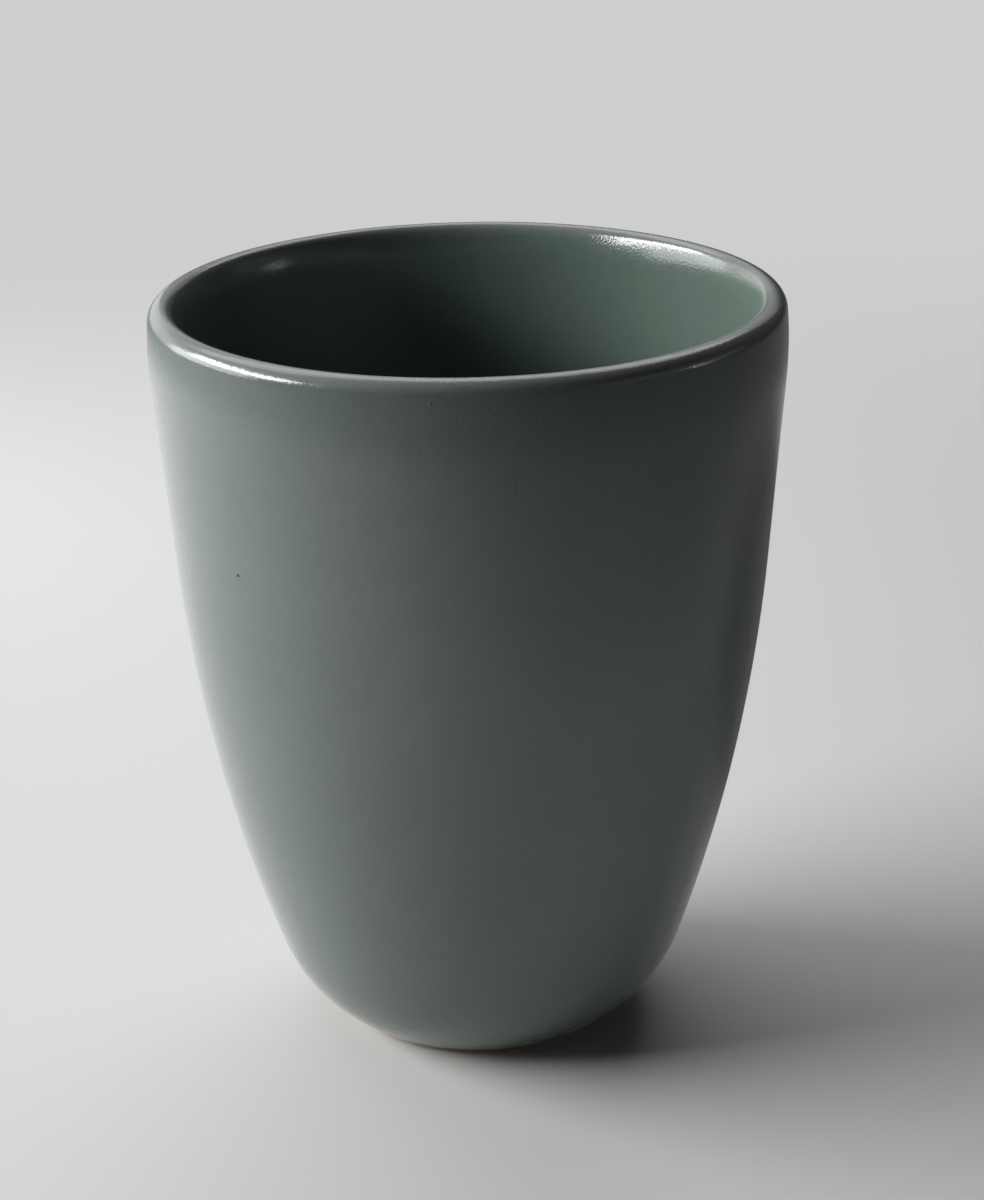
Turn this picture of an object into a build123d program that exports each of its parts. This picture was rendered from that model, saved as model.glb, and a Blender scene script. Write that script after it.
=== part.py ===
from build123d import *
from math import asin, atan2, cos, degrees, radians, sin, sqrt
import os

# Handleless stoneware tumbler, turned on one axis, with a satin glaze inside and out.
# The clay stands on a bare foot ring.  One coat of glaze runs from the inside floor up the wall,
# over the lip and down to the heel, and a patch of glaze lies in the recess under the foot.
# Millimetres, +Z up, origin on the table under the middle of the cup.
# Sizes marked finished are measured over the glaze, the others on the clay.

# Whole cup
cup_height = 102.4  # finished
rim_radius = 42.0  # finished, at the widest ring just under the lip
foot_radius = 17.1  # outer edge of the foot ring on the table

# Lip, all finished
lip_shoulder_radius = 2.1  # outer edge of the lip
lip_inner_radius = 1.3  # inner edge of the lip, beside its top
lip_ease_radius = 13.0  # softer round from that edge down into the inside wall
lip_ease_angle = 20.0  # the softer round takes over where the face leans up by this many degrees
lip_band_drop = 6.25  # from the top down to the widest ring
lip_swell_radius = 53.6  # soft swell that makes the band under the lip

# Wall and heel, all finished
flare_angle = 4.73  # the straight wall leans out by this many degrees
straight_height = 24.9  # length of the straight wall below the swell
wall_thickness = 3.8  # at the lower end of the straight wall
heel_radius = 21.9  # turn from the wall in under the cup
heel_wall_thickness = 4.4  # square through the wall where it starts to turn in

# Inside floor
well_radius = 17.0  # finished, turn from the inside wall into the floor
floor_thickness = 4.0

# Foot
undercut_angle = 26.3  # the heel rises from the table by this many degrees
foot_ring_width = 3.0
recess_depth = 2.4
recess_bare_share = 0.4  # lower part of the recess side, as a share of its depth
foot_edge_share = 0.4  # rounding of the ring's edges, as a share of that bare side

# Glaze
glaze_thickness = 0.4
bare_band_height = 1.4  # the glaze stops this far above the table
glaze_edge_share = 0.65  # rounding of the glaze edge, as a share of its thickness

# Worked out from the sizes above
ring_inner_radius = foot_radius - foot_ring_width
recess_bare_height = recess_depth * recess_bare_share
ring_side_top = (ring_inner_radius, recess_bare_height)
recess_corner_radius = recess_depth - recess_bare_height
foot_edge_radius = recess_bare_height * foot_edge_share
glaze_edge_radius = glaze_thickness * glaze_edge_share
floor_level = recess_depth + floor_thickness + glaze_thickness


def leaning(angle):
    """Unit vector that points away from the axis and dips by an angle in degrees."""
    return Vector(cos(radians(angle)), -sin(radians(angle)))


def shoulder_centre():
    """Centre of the lip's outer edge, which runs into the swell below it without a crease."""
    rise = lip_band_drop - lip_shoulder_radius
    reach = sqrt((lip_swell_radius - lip_shoulder_radius) ** 2 - rise**2)
    return Vector(rim_radius - lip_swell_radius + reach, cup_height - lip_shoulder_radius)


def heel_centre():
    """Centre of the heel round, whose clay meets the table at the foot radius."""
    clay_radius = heel_radius - glaze_thickness
    rise = clay_radius * cos(radians(undercut_angle))
    return Vector(foot_radius - clay_radius * sin(radians(undercut_angle)), rise)


def belly_joint(wall_end, outward, centre, radius):
    """Point and outward direction where the belly arc runs into the round at the bottom.

    The belly arc starts along the wall at wall_end and touches the round of this centre and radius.
    """
    reach = wall_end - centre
    belly_radius = (reach.dot(reach) - radius**2) / (2 * (reach.dot(outward) - radius))
    belly_centre = wall_end - outward * belly_radius
    joint_outward = (centre - belly_centre) * (1 / (belly_radius - radius))
    return centre + joint_outward * radius, joint_outward


def outer_stations():
    """Points on the glaze from the lip's crest down to the heel, each with the way into the clay."""
    swell_centre = Vector(rim_radius - lip_swell_radius, cup_height - lip_band_drop)
    shoulder = shoulder_centre()
    crest = Vector(shoulder.X, cup_height)
    swell_start_outward = (shoulder - swell_centre).normalized()
    outward = leaning(flare_angle)
    swell_end = swell_centre + outward * lip_swell_radius
    wall_end = swell_end + outward.rotate(Axis.Z, -90) * straight_height
    joint, joint_outward = belly_joint(wall_end, outward, heel_centre(), heel_radius)
    return [
        (crest, Vector(0, -1)),
        (swell_centre + swell_start_outward * lip_swell_radius, -swell_start_outward),
        (swell_end, -outward),
        (wall_end, -outward),
        (joint, -joint_outward),
    ]


def inner_stations():
    """Points on the glaze from the middle of the floor up to the lip, each with the way into the clay."""
    crest_centre = Vector(shoulder_centre().X, cup_height - lip_inner_radius)
    ease_outward = leaning(lip_ease_angle)
    ease_centre = crest_centre + ease_outward * (lip_ease_radius - lip_inner_radius)
    outer_wall_end = outer_stations()[3][0]
    wall_end = outer_wall_end - Vector(wall_thickness, 0)
    span = ease_centre - wall_end
    lean = degrees(atan2(span.X, span.Y) - asin(lip_ease_radius / span.length))
    outward = leaning(lean)
    heel_joint, heel_inward = outer_stations()[4]
    well_spot = heel_joint + heel_inward * heel_wall_thickness
    well_drop = floor_level + well_radius - well_spot.Y
    floor_radius = well_spot.X - sqrt(well_radius**2 - well_drop**2)
    well_centre = Vector(floor_radius, floor_level + well_radius)
    joint, joint_outward = belly_joint(wall_end, outward, well_centre, well_radius)
    return [
        (Vector(0, floor_level), Vector(0, -1)),
        (Vector(floor_radius, floor_level), Vector(0, -1)),
        (joint, joint_outward),
        (wall_end, outward),
        (ease_centre - outward * lip_ease_radius, outward),
        (crest_centre - ease_outward * lip_inner_radius, ease_outward),
    ]


def foot_station():
    """End of the clay's heel on the table, given as the point of the glaze line above it."""
    edge = Vector(foot_radius, 0)
    outward = (edge - heel_centre()).normalized()
    return edge + outward * glaze_thickness, -outward


def glaze_end_station():
    """Lower end of the glaze on the heel, at the height of the bare band."""
    dip = degrees(asin((heel_centre().Y - bare_band_height) / heel_radius))
    outward = leaning(dip)
    return heel_centre() + outward * heel_radius, -outward


def draw_cup_line(last_station, inset):
    """Draws the line from the middle of the floor over the lip to the last station on the heel.

    At inset zero it is the face of the glaze, and deeper in it is the clay under it.
    """
    stations = inner_stations() + outer_stations() + [last_station]
    for (start, start_inward), (end, end_inward) in zip(stations, stations[1:]):
        first = start + start_inward * inset
        last = end + end_inward * inset
        if start_inward == end_inward:
            Line(first, last)
        else:
            TangentArc(first, last, tangent=start_inward.rotate(Axis.Z, 90))


def draw_recess_line(inset):
    """Draws the line along the roof of the recess and round its corner to the ring's bare side."""
    roof_end = (ring_inner_radius - recess_corner_radius, recess_depth - inset)
    side_top = (ring_inner_radius - inset, recess_bare_height)
    Line((0, recess_depth - inset), roof_end)
    TangentArc(roof_end, side_top, tangent=(1, 0))


# Fired clay with its foot ring, whose table side and both edges stay bare
with BuildPart() as clay_body:
    with BuildSketch(Plane.XZ) as clay_section:
        with BuildLine():
            draw_cup_line(foot_station(), glaze_thickness)
            draw_recess_line(0)
            Polyline((foot_radius, 0), (ring_inner_radius, 0), ring_side_top)
            Line((0, recess_depth), (0, floor_level - glaze_thickness))
        make_face()
        fillet(clay_section.vertices().group_by(Axis.Y)[0], foot_edge_radius)
    revolve(axis=Axis.Z)

# Glaze from the inside floor over the lip to its rounded edge on the heel
with BuildPart() as glaze_coat:
    with BuildSketch(Plane.XZ) as coat_section:
        glaze_end, glaze_end_inward = glaze_end_station()
        with BuildLine():
            draw_cup_line(glaze_end_station(), 0)
            draw_cup_line(glaze_end_station(), glaze_thickness)
            Line(glaze_end, glaze_end + glaze_end_inward * glaze_thickness)
            Line((0, floor_level), (0, floor_level - glaze_thickness))
        make_face()
        fillet(coat_section.vertices().sort_by(Axis.Y)[0], glaze_edge_radius)
    revolve(axis=Axis.Z)

# Glaze on the roof of the recess under the foot
with BuildPart() as underside_glaze:
    with BuildSketch(Plane.XZ) as underside_section:
        with BuildLine():
            draw_recess_line(0)
            draw_recess_line(glaze_thickness)
            Line(ring_side_top, (ring_inner_radius - glaze_thickness, recess_bare_height))
            Line((0, recess_depth), (0, recess_depth - glaze_thickness))
        make_face()
        face_edge = underside_section.vertices().group_by(Axis.Y)[0].sort_by(Axis.X)[0]
        fillet(face_edge, glaze_edge_radius)
    revolve(axis=Axis.Z)

clay_body.part.label = "clay_body"
glaze_coat.part.label = "glaze_coat"
underside_glaze.part.label = "underside_glaze"

os.makedirs("parts", exist_ok=True)
export_step(clay_body.part, "parts/clay_body.step")
export_step(glaze_coat.part, "parts/glaze_coat.step")
export_step(underside_glaze.part, "parts/underside_glaze.step")
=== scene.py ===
import math

import bpy
from mathutils import Matrix, Vector


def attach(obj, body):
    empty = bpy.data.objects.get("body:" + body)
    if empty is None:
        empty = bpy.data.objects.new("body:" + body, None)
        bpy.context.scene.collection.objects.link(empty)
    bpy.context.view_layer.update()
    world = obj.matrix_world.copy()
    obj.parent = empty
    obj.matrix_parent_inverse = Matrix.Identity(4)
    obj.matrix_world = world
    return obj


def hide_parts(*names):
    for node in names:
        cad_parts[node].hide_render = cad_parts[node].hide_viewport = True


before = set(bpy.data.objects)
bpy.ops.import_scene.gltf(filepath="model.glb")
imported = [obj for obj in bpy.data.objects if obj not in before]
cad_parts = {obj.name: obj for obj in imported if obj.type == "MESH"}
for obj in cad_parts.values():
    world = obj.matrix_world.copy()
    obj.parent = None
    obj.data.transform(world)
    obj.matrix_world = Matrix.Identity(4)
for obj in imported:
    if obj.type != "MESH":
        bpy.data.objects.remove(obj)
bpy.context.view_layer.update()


# Clay body. A stoneware tumbler thrown on the wheel; its foot ring was turned when leather hard
# and wiped clean, so the ring is bare and the rest of the clay lies under the glaze.

MM = 0.001
glaze_thickness = 0.4
spans = 320  # steps round the wheel
sharp_edge = math.radians(40)  # edges that turn more than this stay crisp

# Each arc of the cup's section, in millimetres and degrees: centre, radius of the glaze face,
# first and last direction, steps, and +1 where the clay lies outside the arc or -1 inside it
well = ((10.5316, 23.8), 17.0, -90.0, -18.4224, 18, 1)
inside_belly = ((-151.3455, 77.7198), 187.6211, -18.4224, -3.3014, 26, 1)
lip_ease = ((50.7269, 97.0984), 13.0, 176.6986, 160.0, 12, -1)
lip_inner_edge = ((39.7325, 101.1), 1.3, 160.0, 90.0, 9, -1)
lip_outer_edge = ((39.7325, 100.3), 2.1, 90.0, 4.6221, 14, -1)
lip_band = ((-11.6, 96.15), 53.6, 4.6221, -4.73, 12, -1)
outside_belly = ((-185.4856, 85.5526), 226.0195, -4.73, -18.9476, 30, -1)
heel_under_clay = ((7.574, 19.2745), 21.9, -18.9476, -63.7, 20, -1)
inside_floor = 6.8
upper_cup = [well, inside_belly, lip_ease, lip_inner_edge, lip_outer_edge, lip_band, outside_belly]

foot_outer, foot_inner = 17.1, 14.1
foot_face = 0.001  # a hair over the table, so that the turned ring stays above it
foot_edge = 0.384  # the ring's inner edge is rounded by this much
recess_roof, recess_side = 2.4, 0.96
recess_round = recess_roof - recess_side
grooves, groove_pitch, groove_half_width, groove_depth = 6, 0.4, 0.15, 0.034
first_groove = 0.57  # in from the ring's outer edge


def begin_section(name, r, z):
    """Starts a piece as one point of its section, in the XZ plane."""
    bpy.ops.object.select_all(action="DESELECT")
    bpy.ops.mesh.primitive_plane_add(size=MM, calc_uvs=False)
    bpy.context.object.name = name
    bpy.context.object.data.name = name
    bpy.ops.object.mode_set(mode="EDIT")
    bpy.ops.mesh.merge(type="CENTER")
    bpy.ops.transform.translate(value=(r * MM, 0, z * MM))
    return bpy.context.object


def open_end():
    """Where the section that is being drawn ends."""
    bpy.context.object.update_from_editmode()
    return next(v.co.copy() for v in bpy.context.object.data.vertices if v.select)


def straight_to(r, z, longest_step=3.0):
    """Draws the section straight on to a point."""
    way = Vector((r * MM, 0, z * MM)) - open_end()
    steps = max(1, round(way.length / (longest_step * MM)))
    for _ in range(steps):
        bpy.ops.mesh.extrude_region_move(TRANSFORM_OT_translate={"value": way / steps})


def round_about(centre, degrees, steps):
    """Draws the section on along an arc, anticlockwise where the angle is positive."""
    middle = (centre[0] * MM, 0, centre[1] * MM)
    bpy.ops.mesh.spin(steps=steps, angle=math.radians(degrees), center=middle, axis=(0, 1, 0))


def follow(arcs, depth, step_share=1.0):
    """Draws the section along arcs at a depth under the glaze face, with straights between them."""
    for centre, radius, first, last, steps, clay_side in arcs:
        reach = radius + clay_side * depth
        start = math.radians(first)
        r, z = centre[0] + reach * math.cos(start), centre[1] + reach * math.sin(start)
        if (Vector((r * MM, 0, z * MM)) - open_end()).length > 0.01 * MM:
            straight_to(r, z)
        round_about(centre, last - first, max(2, round(steps * step_share)))


def backwards(arcs):
    """The same arcs from the last to the first."""
    return [
        (centre, radius, last, first, steps, side)
        for centre, radius, first, last, steps, side in reversed(arcs)
    ]


def pick(wanted):
    """Selects the piece's vertices that wanted(place) is true for, place being in millimetres."""
    bpy.ops.object.mode_set(mode="OBJECT")
    mesh = bpy.context.object.data
    mesh.polygons.foreach_set("select", [False] * len(mesh.polygons))
    mesh.edges.foreach_set("select", [False] * len(mesh.edges))
    mesh.vertices.foreach_set("select", [bool(wanted(v.co / MM)) for v in mesh.vertices])
    bpy.ops.object.mode_set(mode="EDIT")


def near(r, z, within=0.02):
    """True for a vertex of the section that lies at a point."""
    return lambda place: math.hypot(place.x - r, place.z - z) < within


def turn_on_wheel():
    """Turns the drawn section once round the upright axis into a closed piece."""
    bpy.ops.mesh.select_all(action="SELECT")
    bpy.ops.mesh.spin(
        steps=spans, angle=math.tau, center=(0, 0, 0), axis=(0, 0, 1), use_auto_merge=True
    )
    bpy.ops.mesh.select_all(action="SELECT")
    bpy.ops.mesh.remove_doubles(threshold=0.001 * MM)
    bpy.ops.mesh.normals_make_consistent(inside=False)
    bpy.ops.object.mode_set(mode="OBJECT")


clay_body = begin_section("clay_body_stoneware", 0, inside_floor - glaze_thickness)
follow(upper_cup + [heel_under_clay], glaze_thickness, step_share=0.7)
straight_to(foot_outer, foot_face)
for groove in range(grooves):
    bottom = foot_outer - first_groove - groove * groove_pitch
    straight_to(bottom + groove_half_width, foot_face)
    straight_to(bottom, foot_face + groove_depth)
    straight_to(bottom - groove_half_width, foot_face)
straight_to(foot_inner, foot_face)
straight_to(foot_inner, recess_side)
round_about((foot_inner - recess_round, recess_side), degrees=90, steps=8)
straight_to(0, recess_roof, longest_step=2.0)
pick(near(foot_inner, foot_face))
bpy.ops.mesh.bevel(affect="VERTICES", offset=foot_edge * MM, segments=5)
turn_on_wheel()
bpy.ops.object.shade_smooth_by_angle(angle=sharp_edge)
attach(clay_body, "root")
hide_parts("clay_body")


class Wire:
    """A socket of a material's nodes, on which sums and products are written as plain maths."""

    def __init__(self, tree, socket=None):
        self.tree = tree
        self.socket = socket

    def node(self, kind, settings=None, values=None, out=0):
        """Adds a node: its settings first, then its sockets' values or links; gives one output."""
        made = self.tree.nodes.new(kind)
        for name, value in (settings or {}).items():
            setattr(made, name, value)
        for name, value in (values or {}).items():
            if isinstance(value, Wire):
                self.tree.links.new(value.socket, made.inputs[name])
            else:
                made.inputs[name].default_value = value
        return Wire(self.tree, made.outputs[out])

    def maths(self, operation, one, other):
        return self.node("ShaderNodeMath", {"operation": operation}, {0: one, 1: other})

    def __add__(self, other):
        return self.maths("ADD", self, other)

    def __mul__(self, other):
        return self.maths("MULTIPLY", self, other)

    def __truediv__(self, other):
        return self.maths("DIVIDE", self, other)

    __radd__ = __add__
    __rmul__ = __mul__

    def within(self, low, high):
        """0 below low and 1 above high, with a soft passage between them."""
        settings = {"interpolation_type": "SMOOTHSTEP"}
        values = {"Value": self, "From Min": low, "From Max": high}
        return self.node("ShaderNodeMapRange", settings, values)

    def noise(self, size, detail):
        """Noise with features of a size in millimetres, from 0 to 1, on these coordinates."""
        values = {"Vector": self, "Scale": 1 / (size * MM), "Detail": detail}
        return self.node("ShaderNodeTexNoise", {}, values)

    def between(self, dark, pale):
        """The colour that lies this share of the way from one colour to the other."""
        settings = {"data_type": "RGBA"}
        values = {0: self, 6: shade(dark), 7: shade(pale)}
        return self.node("ShaderNodeMix", settings, values, out=2)


def shade(colour):
    """A colour as a node takes it."""
    return colour if isinstance(colour, Wire) else (*colour, 1)


def new_finish(name, piece):
    """Gives a piece a new material, and returns the material, its shader and its coordinates."""
    finish = bpy.data.materials.new(name)
    finish.use_nodes = True
    piece.data.materials.clear()
    piece.data.materials.append(finish)
    nodes = Wire(finish.node_tree)
    return finish.node_tree.nodes["Principled BSDF"], nodes, nodes.node("ShaderNodeTexCoord", out=3)


def height_of(place):
    """Height over the table in millimetres."""
    return place.node("ShaderNodeSeparateXYZ", {}, {0: place}, out=2) / MM


def feed(shader, **sockets):
    """Links what varies over the surface to the shader's sockets."""
    for name, wire in sockets.items():
        wire.tree.links.new(wire.socket, shader.inputs[name.replace("_", " ")])


def bumps(nodes, *layers):
    """Small relief as (height, depth in millimetres) layers, which add up."""
    normal = None
    for height, depth in layers:
        values = {"Height": height, "Distance": depth * MM, "Strength": 1.0}
        if normal:
            values["Normal"] = normal
        normal = nodes.node("ShaderNodeBump", {}, values)
    return normal


# Bare clay: matt, sandy, warm grey-brown, with dark specks and a browner line where the glaze
# drew iron out of it
shader, nodes, place = new_finish("bare_stoneware", clay_body)
sand = place.noise(0.35, 3)
specks = place.noise(0.5, 0).within(0.66, 0.72)
cloud = place.noise(6.0, 3)
toasted = height_of(place).within(0.9, 1.7)
clay_colour = (cloud * 0.6 + sand * 0.4).between((0.33, 0.24, 0.17), (0.43, 0.32, 0.24))
clay_colour = (toasted * 0.7).between(clay_colour, (0.24, 0.15, 0.095))
feed(
    shader,
    Base_Color=(specks * 0.55).between(clay_colour, (0.14, 0.11, 0.085)),
    Roughness=sand * 0.15 + 0.75,
    Normal=bumps(nodes, (sand, 0.05), (place.noise(0.14, 1), 0.02)),
)


# Glaze coat. One dip of satin grey-green glaze covers the inside, the lip and the outside. It
# ends in a rolled edge above the bare foot ring, a little uneven where it crept or drew back.

heel_centre, heel_radius = heel_under_clay[:2]
roll_direction = -54.3  # the rolled edge lies at this direction of the heel
roll_proud = 0.05  # and stands this much proud of the coat
roll_end = 1.8  # and has run out into it this far up the heel
roll_fall = ((0.35, 0.85), (0.8, 0.45), (1.3, 0.1), (roll_end, 0.0))  # way up, share of roll_proud
run_core, run_reach = 1.2, 4.5  # a run moves all this near it, and less as far off as this
coat_depth = 0.02  # keeps the coat's face within the turned size
wobble_size = 17.0  # the potter's hand leaves soft swells about this far apart
wobble_depth = 0.07

# Places round the cup, in degrees, where the edge drew back, or crept down below 0, in millimetres
edge_runs = [
    (8, 0.4), (33, -0.25), (61, 0.3), (92, 0.55), (118, -0.3), (150, 0.25), (171, -0.2),
    (203, 0.35), (236, 0.2), (259, -0.2), (281, 0.15), (312, 0.45), (338, -0.25),
]

# Marks in the glaze: degrees round the cup, height and width, then steps in from the mark's edge
# and out of the face, all in millimetres
pinhole = ((0.04, 0.0), (0.04, -0.03), (0.03, -0.12), (0.04, -0.1))
blister = ((0.03, 0.0), (0.03, 0.02), (0.04, 0.03), (0.04, 0.012))
corner_cut = 0.8  # a mark starts as a cut corner of the mesh, this share of its width
off_the_cup = 60  # a place outside the cup, from which a mark's spot is found
marks = [
    (-137.05, 73.63, 0.5, pinhole), (-96.41, 99.67, 0.42, blister), (-85.68, 97.11, 0.34, blister),
    (-82.85, 90.07, 0.3, blister), (24.0, 58.4, 0.45, pinhole), (71.5, 85.2, 0.4, blister),
    (128.0, 33.0, 0.42, pinhole), (156.0, 79.5, 0.36, blister), (-12.0, 41.0, 0.34, pinhole),
]


def on_heel(past_roll, proud):
    """A point on the heel's glaze, so far up the heel from the roll and so far out of the coat."""
    direction = math.radians(roll_direction) + past_roll / heel_radius
    reach = heel_radius + proud
    across, up = reach * math.cos(direction), reach * math.sin(direction)
    return heel_centre[0] + across, heel_centre[1] + up


def draw_edge_back(azimuth, run):
    """Slides the rolled edge up the heel at one place, and less beside it."""
    a, dip = math.radians(azimuth), math.radians(roll_direction)
    outward = Vector((math.cos(a), math.sin(a), 0))
    way = outward * -math.sin(dip) + Vector((0, 0, math.cos(dip)))
    edge = outward * on_heel(0, 0)[0] + Vector((0, 0, on_heel(0, 0)[1]))
    pick(lambda place: (place - edge).length < run_core)
    bpy.ops.transform.translate(
        value=way * run * MM,
        use_proportional_edit=True,
        proportional_edit_falloff="SMOOTH",
        proportional_size=run_reach * MM,
    )


def mark_coat(azimuth, height, width, steps):
    """Works a small round mark into the outside of the coat."""
    bpy.ops.object.mode_set(mode="OBJECT")
    outward = Vector((math.cos(math.radians(azimuth)), math.sin(math.radians(azimuth)), 0))
    start = (outward * off_the_cup + Vector((0, 0, height))) * MM
    spot = bpy.context.object.ray_cast(start, -outward)[1]
    places = [v.co.copy() for v in bpy.context.object.data.vertices]
    nearest = min(places, key=lambda place: (place - spot).length)
    pick(lambda place: (place - nearest / MM).length < 0.001)
    bpy.ops.transform.translate(value=spot - nearest)
    bpy.ops.mesh.bevel(affect="VERTICES", offset=width * corner_cut * MM, segments=2)
    bpy.ops.mesh.dissolve_faces()
    bpy.ops.transform.tosphere(value=1.0)
    for inwards, outwards in steps:
        bpy.ops.mesh.inset(thickness=inwards * MM, depth=outwards * MM)


def press_in(piece, size, depth, spared):
    """Presses soft hollows into a piece, never out of it, and not where the group lies."""
    hand_swells = bpy.data.textures.new("hand_swells", "CLOUDS")
    hand_swells.noise_scale = size * MM
    hand_swells.noise_depth = 1
    press = piece.modifiers.new("press", "DISPLACE")
    press.texture = hand_swells
    press.texture_coords = "LOCAL"
    press.strength = depth * MM
    press.mid_level = 1.0
    press.vertex_group = spared
    press.invert_vertex_group = True
    bpy.ops.object.modifier_apply(modifier=press.name)


glaze_coat = begin_section("glaze_coat_satin", 0, inside_floor - glaze_thickness)
heel_to_roll = (heel_centre, heel_radius, heel_under_clay[2], roll_direction, 16, -1)
follow(upper_cup + [heel_to_roll], glaze_thickness, step_share=0.5)
roll_start = open_end() / MM
bpy.ops.mesh.select_all(action="SELECT")
bpy.ops.object.vertex_group_add()
glaze_coat.vertex_groups.active.name = "on_the_clay"
bpy.ops.object.vertex_group_assign()
pick(near(roll_start.x, roll_start.z, 0.001))
bpy.ops.object.vertex_group_remove_from()

round_about(on_heel(0, (roll_proud - glaze_thickness) / 2), degrees=180, steps=8)
for past_roll, share in roll_fall:
    straight_to(*on_heel(past_roll, share * roll_proud - coat_depth))
past_the_roll = roll_direction + math.degrees(roll_end / heel_radius)
heel_above_roll = (heel_centre, heel_radius, heel_under_clay[2], past_the_roll, 16, -1)
follow(backwards([lip_outer_edge, lip_band, outside_belly, heel_above_roll]), coat_depth)
bpy.ops.object.vertex_group_add()
glaze_coat.vertex_groups.active.name = "inside"
bpy.ops.object.vertex_group_assign()
follow(backwards([well, inside_belly, lip_ease, lip_inner_edge]), coat_depth)
straight_to(0, inside_floor - coat_depth, longest_step=1.5)
turn_on_wheel()
for azimuth, run in edge_runs:
    draw_edge_back(azimuth, run)
for mark in marks:
    mark_coat(*mark)
bpy.ops.object.mode_set(mode="EDIT")
bpy.ops.object.vertex_group_smooth(factor=0.5, repeat=6)
bpy.ops.object.mode_set(mode="OBJECT")
press_in(glaze_coat, wobble_size, wobble_depth, spared="on_the_clay")
bpy.ops.object.shade_smooth_by_angle(angle=sharp_edge)
inside_share = glaze_coat.data.attributes.new("inside_share", "FLOAT", "POINT")
inside_group = glaze_coat.vertex_groups["inside"].index
for vertex, share in zip(glaze_coat.data.vertices, inside_share.data):
    share.value = sum(g.weight for g in vertex.groups if g.group == inside_group)
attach(glaze_coat, "root")
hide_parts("glaze_coat")


def glaze(name, piece):
    """Satin grey-green glaze: clouded, paler on the lip, tinted greener inside as painted bounce
    light, with a fine orange-peel face.
    """
    shader, nodes, place = new_finish(name, piece)
    cloud = place.noise(14.0, 3)
    mottle = place.noise(1.6, 3)
    depth_of_tone = cloud * 0.6 + mottle * 0.4
    outside_colour = depth_of_tone.between((0.085, 0.105, 0.095), (0.111, 0.134, 0.121))
    # Inside, the same glaze is tinted greener: painted bounce light between the green walls, not a
    # different glaze
    inside_colour_painted_bounce = depth_of_tone.between((0.076, 0.106, 0.09), (0.1, 0.135, 0.116))
    inside = nodes.node("ShaderNodeAttribute", {"attribute_name": "inside_share"}, out=2)
    wall_colour = inside.between(outside_colour, inside_colour_painted_bounce)
    thin_on_lip = (height_of(place) + mottle * 0.7).within(100.8, 102.6)
    peel = place.noise(0.36, 1) * (height_of(place).within(90.0, 98.0) * 0.75 + 0.25)
    ripple = place.noise(4.0, 1)
    feed(
        shader,
        Base_Color=thin_on_lip.between(wall_colour, (0.155, 0.17, 0.159)),
        Roughness=mottle * 0.05 + cloud * 0.04 + 0.14,
        Normal=bumps(nodes, (ripple, 0.03), (peel, 0.024)),
    )


glaze("satin_glaze", glaze_coat)


# Underside glaze. The same glaze pooled on the roof of the recess under the foot, parted from
# the main coat by the wiped foot ring.

rolled_edge = 0.12  # how far the pool's edge rolls down the recess side

underside_glaze = begin_section("underside_glaze_pool", 0, recess_roof)
straight_to(foot_inner - recess_round, recess_roof)
round_about((foot_inner - recess_round, recess_side), degrees=-90, steps=8)
straight_to(foot_inner - glaze_thickness * 0.5, recess_side - rolled_edge)
straight_to(foot_inner - glaze_thickness, recess_side)
round_about((foot_inner - recess_round, recess_side), degrees=90, steps=8)
straight_to(0, recess_roof - glaze_thickness, longest_step=1.5)
turn_on_wheel()
bpy.ops.object.shade_smooth_by_angle(angle=sharp_edge)
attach(underside_glaze, "root")
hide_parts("underside_glaze")
glaze("pooled_glaze", underside_glaze)


# Table top and light. A plain pale table passes into an even backdrop; the light is a soft window
# on the left, with pale cards over, behind and beside the cup and a small weak lamp on the right.
# To the cup, but not to the camera, the table is darker far off and behind on the right.

bpy.ops.object.select_all(action="DESELECT")
bpy.ops.mesh.primitive_plane_add(size=8.0, location=(0, 0, 0))
table_top = bpy.context.object
table_top.name = "table_top"
shader, nodes, place = new_finish("pale_table", table_top)
backdrop_tone = (0.62, 0.62, 0.61)


def away_from(x, y):
    """Distance over the table from a spot on it, in millimetres."""
    spot = (x * MM, y * MM, 0)
    settings = {"operation": "DISTANCE"}
    return place.node("ShaderNodeVectorMath", settings, {0: place, 1: spot}, out=1) / MM


# What the table throws back to the cup: pale near it, dim far off and dark behind on the right
pale, dim, dark = (0.69, 0.69, 0.68), (0.2, 0.2, 0.2), (0.12, 0.12, 0.12)
thrown_back = away_from(-75, 65).within(210.0, 350.0).between(pale, dim)
thrown_back = away_from(100, 125).within(75.0, 145.0).between(dark, thrown_back)

# What the camera sees of it: one pale tone, lower near the window, where it would clip
shown = away_from(-300, 20).within(60.0, 300.0).between((0.33, 0.33, 0.325), (0.55, 0.55, 0.54))
in_view = nodes.node("ShaderNodeLightPath")
feed(shader, Base_Color=in_view.between(thrown_back, shown))
shader.inputs["Roughness"].default_value = 0.6
shader.inputs["Specular IOR Level"].default_value = 0.0
sweep = nodes.node("ShaderNodeEmission", {}, {"Color": shade(backdrop_tone)})
far_off = in_view * away_from(0, 0).within(200.0, 480.0)
lit_table = Wire(nodes.tree, shader.outputs[0])
table_face = nodes.node("ShaderNodeMixShader", {}, {0: far_off, 1: lit_table, 2: sweep})
nodes.tree.links.new(table_face.socket, nodes.tree.nodes["Material Output"].inputs["Surface"])


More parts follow.
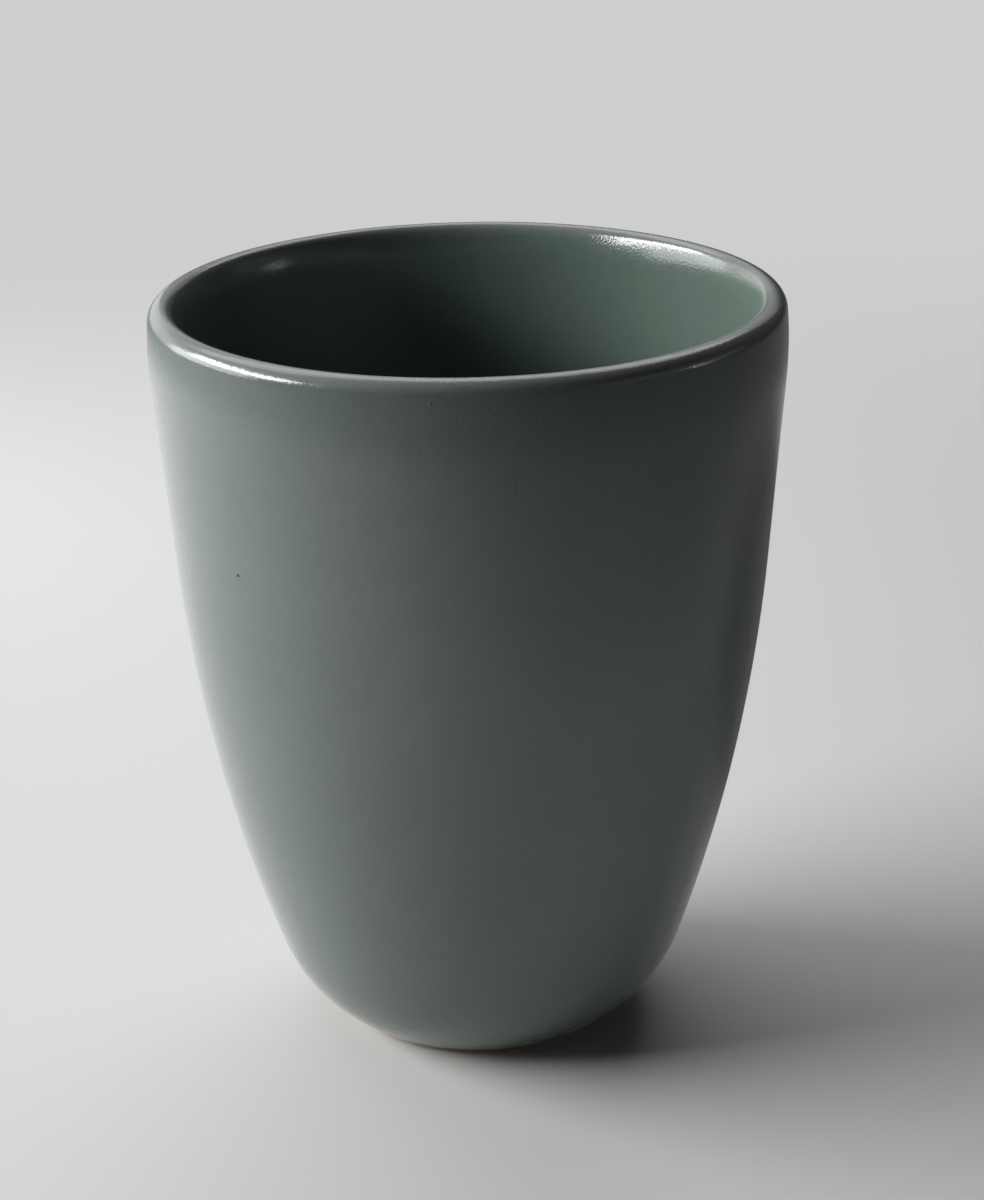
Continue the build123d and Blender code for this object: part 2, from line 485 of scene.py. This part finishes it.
def lamp(name, azimuth, elevation, distance, width, height, power):
    """A rectangle of light that faces the middle of the cup, in metres and watts."""
    a, e = math.radians(azimuth), math.radians(elevation)
    towards = Vector((math.cos(a) * math.cos(e), math.sin(a) * math.cos(e), math.sin(e)))
    bpy.ops.object.light_add(type="AREA", location=cup_middle + towards * distance)
    light = bpy.context.object
    light.name = name
    light.rotation_euler = towards.to_track_quat("Z", "Y").to_euler()
    light.data.shape = "RECTANGLE"
    light.data.size = width
    light.data.size_y = height
    light.data.energy = power


cup_middle = Vector((0, 0, 0.05))

lamp("window", 181, 27, 0.7, 0.6, 0.175, 7.8)
lamp("window_foot", 168, 10, 1.0, 0.85, 0.35, 5.4)
lamp("card_over", 98, 55, 1.0, 1.2, 0.6, 5.4)
lamp("card_behind", 80, 30, 1.2, 0.9, 0.6, 1.0)
lamp("card_left", 124, 12, 1.4, 1.1, 0.6, 2.3)
lamp("card_right", 345, 10, 1.2, 1.6, 0.4, 0.5)
lamp("small_lamp", -5, 6, 0.9, 0.1, 0.05, 0.16)

room = bpy.data.worlds.new("room")
bpy.context.scene.world = room
room.use_nodes = True
backdrop = Wire(room.node_tree)
seen = backdrop.node("ShaderNodeLightPath").between((0.01, 0.01, 0.01), backdrop_tone)
room.node_tree.links.new(seen.socket, room.node_tree.nodes["Background"].inputs["Color"])


# Camera. It stands where the photograph was taken from: in front of the cup and above it,
# looking down, a little turned and rolled.

elevation, pan, tilt, roll = (math.radians(a) for a in (21.698, 0.352, 1.092, -1.273))
distance = 0.4
looked_at = Vector((0, 0, 0.05119))
back = Vector((0, -math.cos(elevation), math.sin(elevation)))
upwards = Vector((0, math.sin(elevation), math.cos(elevation)))
aim = Matrix((Vector((1, 0, 0)), upwards, back)).transposed().to_4x4()
bpy.ops.object.camera_add(location=looked_at + back * distance)
camera = bpy.context.object
camera.name = "camera"
turn = Matrix.Rotation(-pan, 4, "Y") @ Matrix.Rotation(tilt, 4, "X")
turn = turn @ Matrix.Rotation(roll, 4, "Z")
camera.rotation_euler = (aim @ turn).to_euler()
camera.data.sensor_width = 36.0
camera.data.lens = 87.64
bpy.context.scene.camera = camera
bpy.context.scene.view_settings.view_transform = "Standard"
